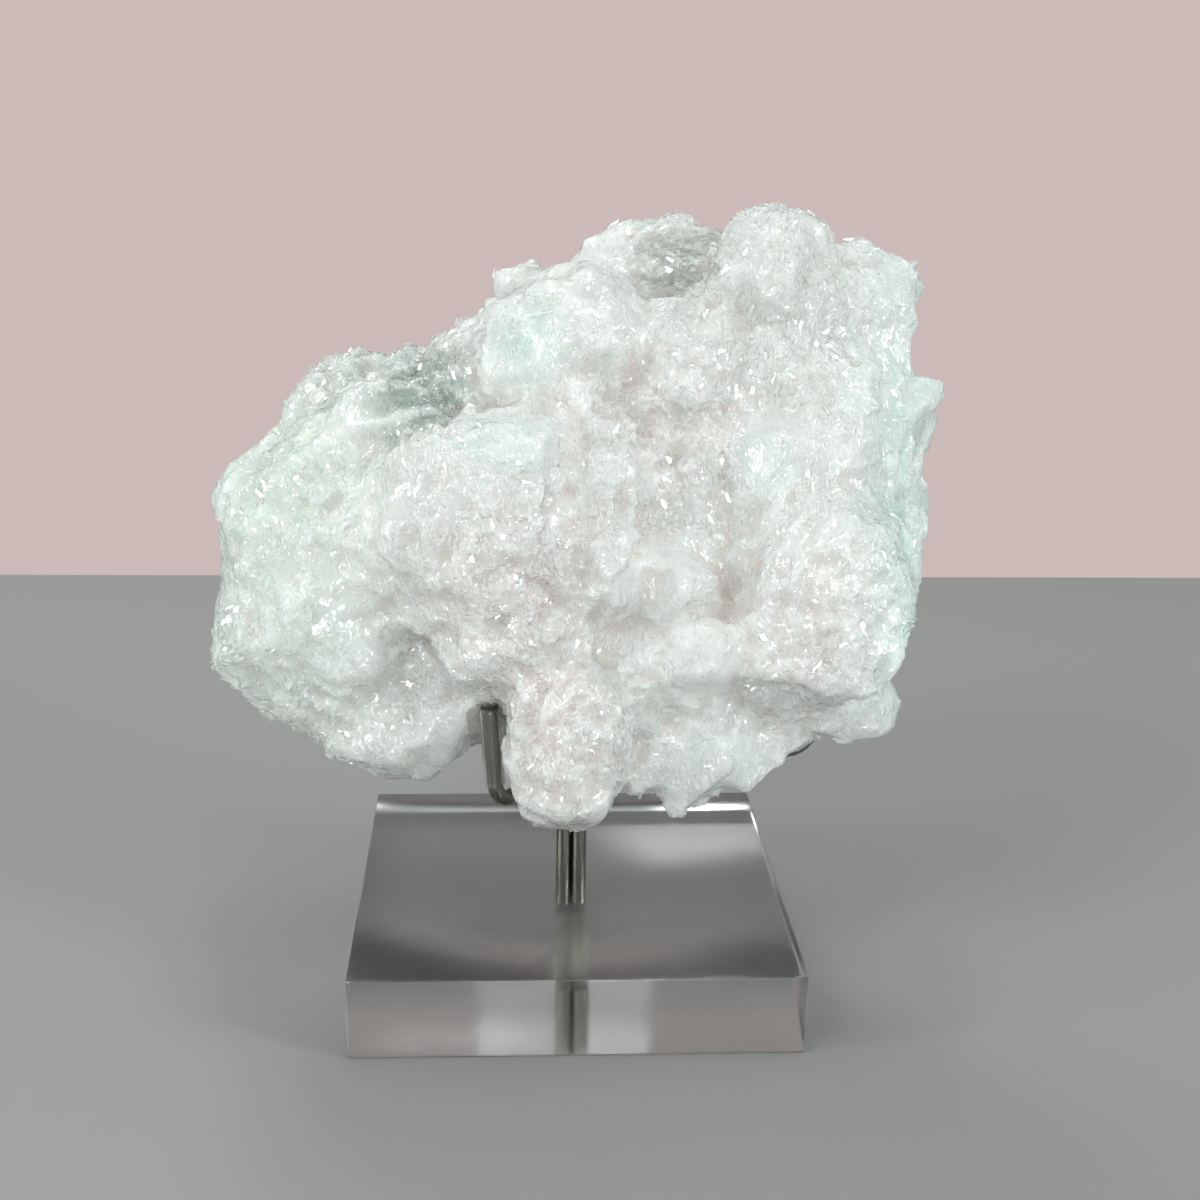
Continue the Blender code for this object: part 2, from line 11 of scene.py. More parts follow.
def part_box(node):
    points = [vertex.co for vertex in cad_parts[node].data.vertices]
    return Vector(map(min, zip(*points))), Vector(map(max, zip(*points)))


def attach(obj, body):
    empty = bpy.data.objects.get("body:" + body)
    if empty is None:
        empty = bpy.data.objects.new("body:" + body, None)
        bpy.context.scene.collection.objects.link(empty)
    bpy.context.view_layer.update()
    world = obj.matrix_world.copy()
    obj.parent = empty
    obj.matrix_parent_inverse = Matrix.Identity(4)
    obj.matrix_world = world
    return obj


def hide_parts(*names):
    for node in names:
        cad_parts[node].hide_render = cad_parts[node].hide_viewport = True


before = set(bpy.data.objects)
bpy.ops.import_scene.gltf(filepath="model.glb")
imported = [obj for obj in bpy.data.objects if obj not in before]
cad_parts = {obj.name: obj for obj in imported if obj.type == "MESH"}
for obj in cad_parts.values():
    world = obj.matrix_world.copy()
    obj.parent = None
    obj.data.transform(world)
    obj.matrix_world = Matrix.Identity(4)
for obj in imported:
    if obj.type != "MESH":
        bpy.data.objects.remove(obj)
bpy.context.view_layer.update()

MM = 0.001

# Camera: the photograph's place, tilt and lens
EYE = Vector((-13.1, -300.0, 162.8)) * MM
LOOK_DOWN = math.radians(17.0)
LOOK_ASIDE = math.radians(3.4)
LOOK_ROLL = math.radians(1.1)
LENS = 51.0
SENSOR = 36.0

# The cluster is set out along the eye's sight lines, from the middle of its view
MIDDLE = Vector((-3.0, 0.0, 86.3)) * MM

# Cluster form: voxels, how far the hollows have grown shut, and how far lobes grow
CLUSTER_VOXEL = 0.9 * MM
CLOSING_VOXEL = 2.0 * MM
CLOSING_STEPS = 24
CLOSING_SWELL = 0.2 * MM
SKIN_STEPS = 6
GROWTH = 1.3 * MM
BLOCK_GROWTH = 0.8 * MM

# Crystals on the surface: those of one domain lie the same way
DOMAIN_SIZE = 15.0 * MM
CRYSTAL_LEAN = 0.55
CRYSTAL_JITTER = 0.10
LEAST_SQUARE = 0.4
SMOOTH_MARGIN = 1.05

# Seeds of the chance that shapes the lobes and the crystals
LOBE_SEED = 100
SMOOTH_SEED = 200
CRYSTAL_SEED = 7

# Coarse crystals, shared with the solid: size, relief, height of the ledges
COARSE_CRYSTALS = (5.0 * MM, 0.8 * MM, 0.35 * MM)

# Fine crystals, of the skin alone
SKIN_VOXEL = 0.5 * MM
SKIN_TRIANGLES = 190000
FINE_CRYSTALS = ((2.4 * MM, 0.26 * MM, 0.10 * MM), (1.2 * MM, 0.12 * MM, 0.05 * MM))
FINE_STEPS = 5

# Thin cleavage plates that stand a little out of the surface, in patches
PLATE_COUNT = 7200
PLATE_LONG = (0.35 * MM, 1.0 * MM)
PLATE_WIDE = (0.15 * MM, 0.42 * MM)
PLATE_THICK = (0.07 * MM, 0.15 * MM)
PLATE_LEAN = 0.55
PLATE_JITTER = 0.12
PLATE_SEED = 31
# painted light: the plates are coloured paler than the stone under them, against the darkening they bring
PLATE_LIGHTENING = 1.06

# Clear block
BLOCK_EDGE = 0.5 * MM

# Clear sleeves on the wires' upright ends: elbow and tip of each wire
WIRES = {
    "front_wire": {"elbow": (-14.3, -19.0, 38.3), "tip": (-15.6, -19.0, 57.2)},
    "right_wire": {"elbow": (46.4, 4.3, 39.6), "tip": (45.6, 2.7, 58.5)},
    "rear_wire": {"elbow": (-21.0, 24.7, 39.0), "tip": (-21.5, 26.1, 58.0)},
}
WIRE_DIAMETER = 2.8 * MM
SLEEVE_DIAMETER = 3.7 * MM
SLEEVE_LENGTH = 15.5 * MM
SLEEVE_TOP = 0.7 * MM
SLEEVE_CLEARANCE = 0.7 * MM
SLEEVE_BORE = WIRE_DIAMETER / 2 + 0.1 * MM

# Where the floor ends behind the cluster
FLOOR_BACK = 0.26

# Surround: its light, its darker part behind, where that part starts and is full
# (1 is straight behind), and the plain backdrop that the camera sees
SURROUND = (0.93, 1.0, 0.98)
SURROUND_BEHIND = (0.44, 0.40, 0.39)
BEHIND = (0.60, 0.80)
BACKDROP = (0.60, 0.495, 0.48)

# Rounded lobes: name, (across, up, forward), half sizes (wide, tall, deep),
# (roll, nod, turn) in degrees, squareness
LOBES = [
    # the body that carries the rest
    ("heart", (-2, -6, 4), (31, 27, 20), (10, 0, 0), 2.2),
    ("left body", (-44, -8, 2), (20, 27, 18), (14, 0, 0), 2.2),
    ("left shoulder", (-37, 8.5, -4), (26, 13, 18), (39, 0, 0), 2.2),
    ("upper slope", (-3, 27.5, -6), (29, 12, 17), (27, 0, 0), 2.2),
    ("upper right body", (37, 33.5, -6), (23.5, 17.5, 17), (-10, 0, 0), 2.2),
    ("top body", (18, 41.5, -10), (17, 10.8, 11.5), (5, 0, 0), 2.2),
    ("right body", (42.5, 10, 2), (18.3, 25, 19), (0, 0, 0), 2.2),
    ("right foot body", (45.5, -18, 12.5), (14.8, 17, 13.5), (0, 0, 0), 2.2),
    ("lower body", (4, -26.2, 1), (29, 16.5, 17), (-5, 0, 0), 2.2),
    ("lower right body", (26, -26, 4), (21, 15, 18), (0, 0, 0), 2.2),
    ("lower left body", (-32, -29, 1), (19, 13, 18), (-5, 0, 0), 2.2),
    # left side
    ("left brow", (-48, 3, 7), (13, 12, 12.5), (20, 0, -20), 2.2),
    ("left middle", (-46, -6, 8), (13, 13, 12), (0, 0, -10), 2.2),
    ("left cheek", (-43, -16, 8), (14, 14, 13), (10, 0, -10), 2.2),
    ("left jowl", (-47, -26, 5), (10, 12, 12), (20, 0, -20), 2.2),
    ("left inner", (-35, -4, 11), (10, 15, 11), (0, 0, 10), 2.2),
    ("grey ridge", (-40, 22, -10), (10, 4, 10), (37, 0, 0), 2.4),
    # middle
    ("great lobe", (-14.5, -2.5, 17), (17.5, 18, 17), (0, -5, 0), 2.9),
    ("great lobe skirt", (-7, -22, 17), (15.5, 6, 13), (14, 0, 0), 2.3),
    ("upper lobe", (2, 32, 3), (14, 11, 13), (25, 15, 0), 2.3),
    ("left slope", (-24, -27, 7), (11.5, 16, 9.8), (-8, 0, 0), 2.2),
    ("bottom lobe", (0.8, -42.6, 28.5), (9.8, 13.2, 10), (0, 0, 0), 2.6),
    ("bottom neck", (2, -32, 22), (10, 8, 11), (0, 0, 0), 2.4),
    ("lower left lumps", (-31, -38.5, 7), (13, 7, 11), (-6, 0, 0), 2.2),
    ("stem lobe", (8, -8.5, 20), (5.5, 9, 9), (0, 0, 0), 2.4),
    ("inner lobe", (20.5, -10.5, 17), (8.5, 7, 9), (15, 0, 0), 2.4),
    ("lower lobe", (19.5, -25.5, 16), (12.5, 9, 11), (0, 0, 0), 2.3),
    ("inner ridge", (7.5, 6, 15), (6.5, 9, 9), (0, 0, 0), 2.3),
    ("inner step", (18, 20, 4), (10, 8, 10), (20, 0, 0), 2.3),
    ("inner wall", (25, 9, 9), (8.5, 12, 9), (0, 0, 0), 2.2),
    ("brow wall", (-2, 18.5, 8), (13, 8, 9), (10, 0, 0), 2.2),
    ("tooth root", (24, -36, 11), (13, 10, 10), (0, 0, 0), 2.3),
    # right side
    ("top right plate", (38.5, 45.5, 2), (9.5, 10.2, 10), (-20, 10, -10), 2.8),
    ("upper right lump", (35, 25, 4), (9, 8, 11), (0, 0, 0), 2.3),
    ("upper right shelf", (45, 28, 3), (10, 7, 11), (-10, 20, 0), 2.4),
    ("right shelf", (51, 20, 6), (8, 10, 11), (0, 0, 0), 2.4),
    ("under plate lump", (22, 24.5, 8), (7, 7, 9), (0, 0, 0), 2.3),
    ("great plate", (46.5, -14.5, 17), (14.6, 20, 13.5), (-8, 0, -8), 2.5),
    ("plate foot", (45.8, -34, 14), (6, 4, 7), (0, 0, 0), 2.3),
    # back
    ("back left", (-38, -4, -14), (20, 22, 10), (20, 0, 0), 3.2),
    ("back middle", (2, 4, -17), (30, 24, 9), (0, 0, 0), 3.2),
    ("back right", (38, 18, -16), (20, 24, 9), (-15, 0, 0), 3.2),
    ("back low", (-8, -22, -14), (24, 12, 9), (5, 0, 0), 3.2),
]

# Smooth crystals that are named one by one: name, (across, up, forward), half
# sizes, (roll, nod, turn), squareness
SMOOTH_LOBES = [
    ("pale round crystal", (-38, -24, 17), (6, 5, 6), (0, 0, 0), 2.4),
    ("ball crystal", (55.3, -33.8, 14), (4.9, 5.0, 5), (0, 0, 0), 2.6),
    ("smooth pale face", (37.3, 10.7, 12.5), (5.5, 6.2, 8), (10, 10, 0), 3.6),
    ("smooth lower lobe", (25.5, -24.5, 19), (6, 6.4, 9), (0, 0, 0), 2.6),
    ("backing plane", (35, -34, 5), (11, 7, 9), (-20, 0, 0), 3.0),
    ("ledge", (-30.5, 14, 6), (10.5, 5.2, 10), (8, 30, 0), 3.0),
]

# Cleavage blocks with flat faces: name, (across, up, forward), half edges,
# (roll, nod, turn)
BLOCKS = [
    ("great lobe cap", (-10.5, 10.5, 22), (8.5, 5.5, 6), (0, 50, 0)),
    ("upper lobe face", (-5, 30, 9), (5.6, 7.4, 6), (12, 15, -25)),
    ("pale block", (8.4, 46, -7), (3.6, 2.8, 4), (0, 25, 0)),
    ("glitter block", (-7.5, 40, -8), (3.4, 2.6, 4), (20, 10, 0)),
    ("hollow crystal", (-25, 26, -4), (3.2, 2.6, 4), (25, 20, 10)),
    ("hollow crystal left", (-29, 25, -3), (2.2, 2.4, 3), (-10, 10, 0)),
    ("hollow crystal right", (-21, 24.5, -1), (2.4, 2, 3), (50, 10, -10)),
    ("hex plate", (22.5, 34, 7), (6, 4.2, 4), (0, 20, 0)),
    ("inner crystal", (12.2, 8.5, 15.5), (3.4, 5.4, 6), (22, 15, -25)),
    ("bright cleavage", (60, 17.5, 2), (5.2, 4.2, 7), (-25, 35, 0)),
    ("cyan crystal", (55.5, 9.8, 5), (4.4, 6, 8), (10, 0, 25)),
    ("edge crystal", (62, 4, -3), (2.4, 3.2, 5), (20, 0, 20)),
    ("right edge", (58.5, -5, 0), (2.4, 6, 8), (4, 0, 30)),
    ("beak", (54.5, 40.5, -6), (7, 4.2, 7), (-28, 20, 0)),
    ("under beak", (55.5, 30, -4), (4, 7, 9), (5, 0, 20)),
    ("left tooth", (17, -41, 17), (4.5, 6.2, 6), (25, -10, 0)),
    ("middle tooth", (24.5, -42.5, 17), (6.2, 6.4, 7), (40, -10, -10)),
    ("right tooth", (30.5, -41, 15), (6, 6.2, 7), (-32, -10, 20)),
]


def sight_axes():
    """Right, up and ahead of the eye."""
    ahead = Vector((
        math.sin(LOOK_ASIDE) * math.cos(LOOK_DOWN),
        math.cos(LOOK_ASIDE) * math.cos(LOOK_DOWN),
        -math.sin(LOOK_DOWN),
    ))
    level = Vector((math.cos(LOOK_ASIDE), -math.sin(LOOK_ASIDE), 0.0))
    upright = level.cross(ahead)
    right = math.cos(LOOK_ROLL) * level + math.sin(LOOK_ROLL) * upright
    up = math.cos(LOOK_ROLL) * upright - math.sin(LOOK_ROLL) * level
    return right, up, ahead


RIGHT, UP, AHEAD = sight_axes()


def place(across, up, forward):
    """A place on its sight line, and how much smaller things are made there."""
    sight = MIDDLE + across * MM * RIGHT + up * MM * UP - EYE
    reach = (-forward * MM - EYE.y) / sight.y
    return EYE + reach * sight, reach


def facing(roll, nod, turn):
    """Axes of a form: across, up and out of its front face, as columns."""
    upright = Matrix((RIGHT, UP, -AHEAD)).transposed()
    spin = Matrix.Rotation(math.radians(turn), 3, "Y")
    lean = Matrix.Rotation(-math.radians(nod), 3, "X")
    twist = Matrix.Rotation(math.radians(roll), 3, "Z")
    return upright @ spin @ lean @ twist


def link(name, mesh, *finishes):
    """Put a mesh in the scene under its own name."""
    for finish in finishes:
        mesh.materials.append(finish)
    made = bpy.data.objects.new(name, mesh)
    bpy.context.scene.collection.objects.link(made)
    return made


def ball_points(level):
    """Vertices and triangles of a ball of radius one."""
    sphere = bmesh.new()
    bmesh.ops.create_icosphere(sphere, subdivisions=level, radius=1.0)
    points = np.array([vertex.co[:] for vertex in sphere.verts])
    faces = np.array([[vertex.index for vertex in face.verts] for face in sphere.faces])
    sphere.free()
    return points, faces


BALL_POINTS, BALL_FACES = ball_points(4)
FLAT_COUNT = 16
FLAT_DEPTH = (0.80, 0.96)
SWELL_COUNT = 5
SWELL_HEIGHT = 0.035
SWELL_TURNS = 2.2


def lobe(row, seed):
    """A rounded, squarish lobe that swells unevenly, with flats broken on it."""
    _, (across, up, forward), sizes, angles, squareness = row
    centre, shrink = place(across, up, forward)
    chance = np.random.default_rng(seed)
    length = (np.abs(BALL_POINTS) ** squareness).sum(axis=1) ** (1.0 / squareness)
    points = BALL_POINTS / length[:, None]
    swell = np.ones(len(points))
    for _ in range(SWELL_COUNT):
        way = chance.normal(scale=SWELL_TURNS, size=3)
        swell += SWELL_HEIGHT * np.sin(points @ way + chance.uniform(0, 2 * math.pi))
    points = points * swell[:, None]
    for _ in range(FLAT_COUNT):
        normal = chance.normal(size=3)
        normal /= np.linalg.norm(normal)
        reach = points @ normal
        limit = reach.max() * chance.uniform(*FLAT_DEPTH)
        points = points - np.outer(np.maximum(reach - limit, 0.0), normal)
    points = points * (np.array(sizes) * MM * shrink + GROWTH)
    points = points @ np.array(facing(*angles)).T + np.array(centre)
    return points, BALL_FACES


BLOCK_FACES = [(0, 2, 3, 1), (4, 5, 7, 6), (0, 1, 5, 4), (2, 6, 7, 3), (0, 4, 6, 2), (1, 3, 7, 5)]
BLOCK_SKEW = 0.22
BLOCK_SQUARENESS = 8.0


def block(row):
    """A cleavage block: six flat faces, each pair of edges leaning a little."""
    _, (across, up, forward), sizes, angles = row
    centre, shrink = place(across, up, forward)
    corners = np.array([(x, y, z) for z in (-1, 1) for y in (-1, 1) for x in (-1, 1)], float)
    corners[:, 0] += BLOCK_SKEW * corners[:, 1]
    corners[:, 1] += BLOCK_SKEW * corners[:, 2]
    points = corners * (np.array(sizes) * MM * shrink + BLOCK_GROWTH)
    points = points @ np.array(facing(*angles)).T + np.array(centre)
    return points, BLOCK_FACES


def lobe_reach(points, row, growth=GROWTH):
    """How far out points lie in a lobe: 1 is its surface, less is inside."""
    _, (across, up, forward), sizes, angles, squareness = row
    centre, shrink = place(across, up, forward)
    local = (points - np.array(centre)) @ np.array(facing(*angles))
    local = np.abs(local) / (np.array(sizes) * MM * shrink + growth)
    return (local ** squareness).sum(axis=1) ** (1.0 / squareness)


def smooth_reach(points):
    """How near points lie to the crystals that stay smooth: below 1 is on them."""
    reach = np.full(len(points), np.inf)
    for row in SMOOTH_LOBES:
        reach = np.minimum(reach, lobe_reach(points, row))
    for name, at, sizes, angles in BLOCKS:
        row = (name, at, sizes, angles, BLOCK_SQUARENESS)
        reach = np.minimum(reach, lobe_reach(points, row, BLOCK_GROWTH))
    return reach


def nearest(points, seeds):
    """For each point, which seed is the nearest."""
    tree = KDTree(len(seeds))
    for number, seed in enumerate(seeds):
        tree.insert(seed, number)
    tree.balance()
    return np.array([tree.find(point)[1] for point in points])


def crystal_faces(points, normals, area, crystals, seed):
    """Move each patch of the surface onto its own flat crystal face."""
    size, relief, ledge_height = crystals
    chance = np.random.default_rng(seed)
    seeds = chance.choice(len(points), int(area / size ** 2), replace=False)
    middles = chance.choice(len(points), int(area / DOMAIN_SIZE ** 2), replace=False)
    lattices = np.linalg.qr(chance.normal(size=(len(middles), 3, 3)))[0]
    lattice = lattices[nearest(points[seeds], points[middles])]
    outward = normals[seeds]
    along = np.einsum("nij,nj->ni", lattice, outward)
    best = np.abs(along).argmax(axis=1)
    rows = np.arange(len(seeds))
    face = lattice[rows, best] * np.sign(along[rows, best])[:, None]
    face = (1 - CRYSTAL_LEAN) * outward + CRYSTAL_LEAN * face
    face += chance.normal(scale=CRYSTAL_JITTER, size=face.shape)
    face /= np.linalg.norm(face, axis=1)[:, None]
    ledge = chance.uniform(-0.5, 0.5, size=len(seeds)) * ledge_height
    owner = nearest(points, points[seeds])
    square = (face[owner] * normals).sum(axis=1).clip(LEAST_SQUARE)
    height = ((points[seeds][owner] - points) * face[owner]).sum(axis=1) / square
    height = (height + ledge[owner]).clip(-relief, relief)
    height[smooth_reach(points) < SMOOTH_MARGIN] = 0.0
    return points + normals * height[:, None]


def clear_of_sleeves(points):
    """Points that would touch a sleeve are moved straight away from it."""
    for plan in WIRES.values():
        low = np.array(plan["elbow"]) * MM
        run = np.array(plan["tip"]) * MM - low
        length = np.linalg.norm(run)
        along = ((points - low) @ run / length).clip(0.0, length + SLEEVE_TOP)
        away = points - low - np.outer(along, run / length)
        distance = np.linalg.norm(away, axis=1)
        push = (SLEEVE_DIAMETER / 2 + SLEEVE_CLEARANCE - distance).clip(0.0)
        points = points + away * (push / distance)[:, None]
    return points


def cluster_shells():
    """Every lobe and block of the cluster, as shells that run into each other."""
    shells = [lobe(row, LOBE_SEED + number) for number, row in enumerate(LOBES)]
    shells.extend(lobe(row, SMOOTH_SEED + number) for number, row in enumerate(SMOOTH_LOBES))
    shells.extend(block(row) for row in BLOCKS)
    return shells


def joined_mesh(name, shells):
    """One mesh that holds all the shells."""
    points = []
    faces = []
    start = 0
    for shell_points, shell_faces in shells:
        points.append(shell_points)
        faces.extend((np.asarray(shell_faces) + start).tolist())
        start += len(shell_points)
    mesh = bpy.data.meshes.new(name)
    mesh.from_pydata(np.concatenate(points).tolist(), [], faces)
    mesh.validate()
    return mesh


def evaluated(made):
    """What an object's modifiers make of it: points, outward directions, faces and area."""
    mesh = made.evaluated_get(bpy.context.evaluated_depsgraph_get()).data
    points = np.array([vertex.co[:] for vertex in mesh.vertices])
    normals = np.array([vertex.normal[:] for vertex in mesh.vertices])
    faces = [tuple(face.vertices) for face in mesh.polygons]
    return points, normals, faces, sum(face.area for face in mesh.polygons)


def skin(shells, voxel, smoothing):
    """The shells run together into one skin, and the directions it faces once softened."""
    soft = bpy.data.objects.new("skin", joined_mesh("skin", shells))
    bpy.context.scene.collection.objects.link(soft)
    fuse = soft.modifiers.new("fuse", "REMESH")
    fuse.mode = "VOXEL"
    fuse.voxel_size = voxel
    smooth = soft.modifiers.new("smooth", "SMOOTH")
    smooth.factor = 0.5
    smooth.iterations = smoothing
    soft_points, normals, faces, area = evaluated(soft)
    smooth.iterations = 1
    points = evaluated(soft)[0]
    bpy.data.objects.remove(soft, do_unlink=True)
    return points, soft_points, normals, faces, area


def patchiness(points):
    """How crystalline the surface is: low where it has stayed smooth, 1 where it glitters."""
    x, y, z = (points / (9.0 * MM)).T
    wave = np.sin(x + 1.9 * np.sin(0.7 * y + 0.4 * z)) + np.sin(1.1 * z + 1.6 * np.sin(0.8 * x)) + np.sin(0.9 * y + x)
    return (0.5 + 0.35 * wave).clip(0.15, 1.0)


def cleavage_plates(points, normals, area):
    """Thin plates part way out of the surface: those of one domain lie nearly the same way."""
    chance = np.random.default_rng(PLATE_SEED)
    likely = patchiness(points)
    likely[smooth_reach(points) < SMOOTH_MARGIN] = 0.0
    picks = chance.choice(len(points), PLATE_COUNT, replace=False, p=likely / likely.sum())
    middles = chance.choice(len(points), int(area / DOMAIN_SIZE ** 2), replace=False)
    lattices = np.linalg.qr(chance.normal(size=(len(middles), 3, 3)))[0]
    lattice = lattices[nearest(points[picks], points[middles])]
    outward = normals[picks]
    along = np.einsum("nij,nj->ni", lattice, outward)
    best = np.abs(along).argmax(axis=1)
    rows = np.arange(PLATE_COUNT)
    face = (1 - PLATE_LEAN) * outward
    face += PLATE_LEAN * lattice[rows, best] * np.sign(along[rows, best])[:, None]
    face += chance.normal(scale=PLATE_JITTER, size=face.shape)
    face /= np.linalg.norm(face, axis=1)[:, None]
    run = lattice[rows, (best + 1) % 3] + chance.normal(scale=PLATE_JITTER, size=face.shape)
    run -= (run * face).sum(axis=1)[:, None] * face
    run /= np.linalg.norm(run, axis=1)[:, None]
    side = np.cross(face, run)
    corners = np.array([(x, y, z) for z in (-1, 1) for y in (-1, 1) for x in (-1, 1)], float)
    corners[:, 0] += BLOCK_SKEW * corners[:, 1]
    half = np.stack([chance.uniform(*size, PLATE_COUNT) for size in (PLATE_LONG, PLATE_WIDE, PLATE_THICK)], axis=1)
    local = corners[None] * half[:, None]
    placed = np.einsum("nck,nkj->ncj", local, np.stack([run, side, face], axis=1))
    placed += points[picks][:, None]
    faces = (np.array(BLOCK_FACES)[None] + 8 * rows[:, None, None]).reshape(-1, 4)
    return placed.reshape(-1, 3), faces


def cluster_mesh():
    """The cluster's skin, with crystals of three sizes, and the thin plates on it."""
    shells = cluster_shells()
    _, points, normals, faces, _ = skin(shells, CLOSING_VOXEL, CLOSING_STEPS)
    shells.append((points + normals * CLOSING_SWELL, faces))
    points, _, normals, faces, area = skin(shells, CLUSTER_VOXEL, SKIN_STEPS)
    points = clear_of_sleeves(crystal_faces(points, normals, area, COARSE_CRYSTALS, CRYSTAL_SEED))
    points, _, normals, faces, area = skin([(points, faces)], SKIN_VOXEL, FINE_STEPS)
    for number, crystals in enumerate(FINE_CRYSTALS, 1):
        grown = crystal_faces(points, normals, area, crystals, CRYSTAL_SEED + number)
        points = points + (grown - points) * patchiness(points)[:, None]
    raw = link("raw", joined_mesh("raw", [(points, faces)]))
    thin = raw.modifiers.new("thin", "DECIMATE")
    thin.ratio = min(1.0, SKIN_TRIANGLES / sum(len(face) - 2 for face in faces))
    stone = bpy.data.meshes.new_from_object(raw.evaluated_get(bpy.context.evaluated_depsgraph_get()))
    bpy.data.objects.remove(raw, do_unlink=True)
    plates = joined_mesh("cleavage_plates", [cleavage_plates(points, normals, area)])
    return stone, plates


# Tints: colours that the stone takes in places, and painted shade in its clefts, hollow and recesses
MILK = (0.81, 0.84, 0.82)
TINTS = {
    "pink": (0.84, 0.76, 0.76),
    "rose": (0.64, 0.57, 0.56),
    "cyan": (0.70, 0.87, 0.85),
    "green white": (0.79, 0.92, 0.84),
    # painted shade: the clefts browned and darkened
    "cleft shade": (0.62, 0.50, 0.44),
    # painted shade: the hollow and its clear crystals darkened
    "hollow": (0.22, 0.31, 0.26),
    # painted shade: the recesses further back darkened to grey
    "grey": (0.48, 0.50, 0.46),
}

# Painted shade browns the creases and painted highlight whitens the crests: steps of averaging, and the depth or
# height at which the tint is full
CREASE_SHADE_COLOUR = (0.60, 0.50, 0.46)
CREASE_STEPS = 40
CREASE_DEPTH = 1.6 * MM
CREST_HIGHLIGHT_COLOUR = (0.93, 0.97, 0.95)
# painted highlight on the edges of the cleavage steps
EDGE_HIGHLIGHT_COLOUR = (0.97, 1.0, 0.99)
CREST_STEPS = 3
CREST_HEIGHT = 0.12 * MM

# Where the tints lie: tint, (across, up, forward), half sizes, strength
TINTED = [
    ("green white", (-48, -5, 8), (22, 34, 30), 0.9),
    ("pink", (-10, -12, 30), (24, 22, 25), 0.6),
    # the bottom lobe darker and pinker than the rest
    ("rose", (0, -42, 30), (15, 17, 20), 0.8),
    ("pink", (44, -20, 30), (14, 18, 20), 0.55),
    ("pink", (20, 18, 10), (22, 20, 22), 0.5),
    ("pink", (36, -34, 8), (12, 8, 14), 0.6),
    ("cyan", (60, 0, 5), (9, 48, 30), 0.9),
    ("cyan", (-10, 12, 24), (10, 6, 10), 0.8),
    ("cyan", (-5, 31, 14), (8, 9, 8), 0.8),
    ("cyan", (37, 11, 20), (6, 7, 10), 0.7),
    ("cyan", (28, -42, 18), (12, 9, 10), 0.5),
    # painted shade: the clefts browned and darkened
    ("cleft shade", (-4, 19, 10), (8, 4, 10), 0.7),
    ("cleft shade", (24, 12, 8), (7, 8, 8), 0.6),
    ("cleft shade", (29, -14, 14), (3, 8, 10), 0.9),
    ("cleft shade", (2, -31, 24), (7, 2.5, 10), 0.7),
    ("cleft shade", (29, 40, 0), (2.5, 9, 9), 0.9),
    # painted shade: the hollow darkened
    ("hollow", (-25, 19.5, 6), (10, 8, 22), 1.0),
    ("hollow", (-22, 27, -2), (8, 5, 16), 0.6),
    # painted shade: the grey recesses darkened
    ("grey", (-41, 24, -6), (10, 7, 20), 0.4),
    ("grey", (21, 45, 0), (9, 9, 22), 0.9),
]


def averaged(points, edges, steps):
    """Where the points go when each is moved among its neighbours a number of times."""
    count = len(points)
    neighbours = np.bincount(edges.ravel(), minlength=count)[:, None]
    for _ in range(steps):
        total = np.zeros_like(points)
        for axis in range(3):
            total[:, axis] = np.bincount(edges[:, 0], points[edges[:, 1], axis], count)
            total[:, axis] += np.bincount(edges[:, 1], points[edges[:, 0], axis], count)
        points = 0.5 * (points + total / neighbours.clip(1))
    return points


def mesh_values(items, name, size, kind=float):
    """One value of all the points or edges of a mesh, as rows."""
    values = np.zeros(len(items) * size, kind)
    items.foreach_get(name, values)
    return values.reshape(-1, size)


def tinted(points):
    """The stone's colour at each point, before creases and crests."""
    colour = np.tile(np.array(MILK), (len(points), 1))
    axes = np.array(facing(0, 0, 0))
    for tint, (across, up, forward), sizes, strength in TINTED:
        centre, shrink = place(across, up, forward)
        local = (points - np.array(centre)) @ axes / (np.array(sizes) * MM * shrink)
        weight = strength * np.exp(-1.2 * (local ** 2).sum(axis=1) ** 1.3)
        colour += weight[:, None] * (np.array(TINTS[tint]) - colour)
    return colour


def shade_and_highlight(mesh, points, colour):
    """Painted shade browns the creases and painted highlight whitens the crests."""
    normals = mesh_values(mesh.vertices, "normal", 3)
    edges = mesh_values(mesh.edges, "vertices", 2, int)
    depth = ((averaged(points, edges, CREASE_STEPS) - points) * normals).sum(axis=1)
    crease_shade = 0.7 * (depth / CREASE_DEPTH).clip(0.0, 1.0)
    colour += crease_shade[:, None] * (np.array(CREASE_SHADE_COLOUR) * colour.mean(axis=1)[:, None] * 1.6 - colour)
    height = ((points - averaged(points, edges, CREST_STEPS)) * normals).sum(axis=1)
    crest_highlight = 0.6 * (height / CREST_HEIGHT).clip(0.0, 1.0)
    colour += crest_highlight[:, None] * (np.array(CREST_HIGHLIGHT_COLOUR) - colour)
    return colour


def paint(mesh, colour):
    """Lay a colour on each vertex."""
    layer = mesh.color_attributes.new("tint_and_painted_light", "FLOAT_COLOR", "POINT")
    layer.data.foreach_set("color", np.concatenate([colour, np.ones((len(colour), 1))], axis=1).ravel())


def new_material(name):
    """An empty node material, with its shader."""
    made = bpy.data.materials.new(name)
    made.use_nodes = True
    nodes = made.node_tree.nodes
    return made, nodes, made.node_tree.links, nodes["Principled BSDF"]


def group_socket(group, name, way, kind, value=None):
    """A named input or output of a node group."""
    socket = group.interface.new_socket(name=name, in_out=way, socket_type=kind)
    if value is not None:
        socket.default_value = value
    return socket


def ramp(nodes, links, value, low, high, to_low, to_high):
    """A value stretched from one range to another, held at its ends."""
    made = nodes.new("ShaderNodeMapRange")
    made.inputs["From Min"].default_value = low
    made.inputs["From Max"].default_value = high
    made.inputs["To Min"].default_value = to_low
    made.inputs["To Max"].default_value = to_high
    links.new(value, made.inputs["Value"])
    return made.outputs["Result"]


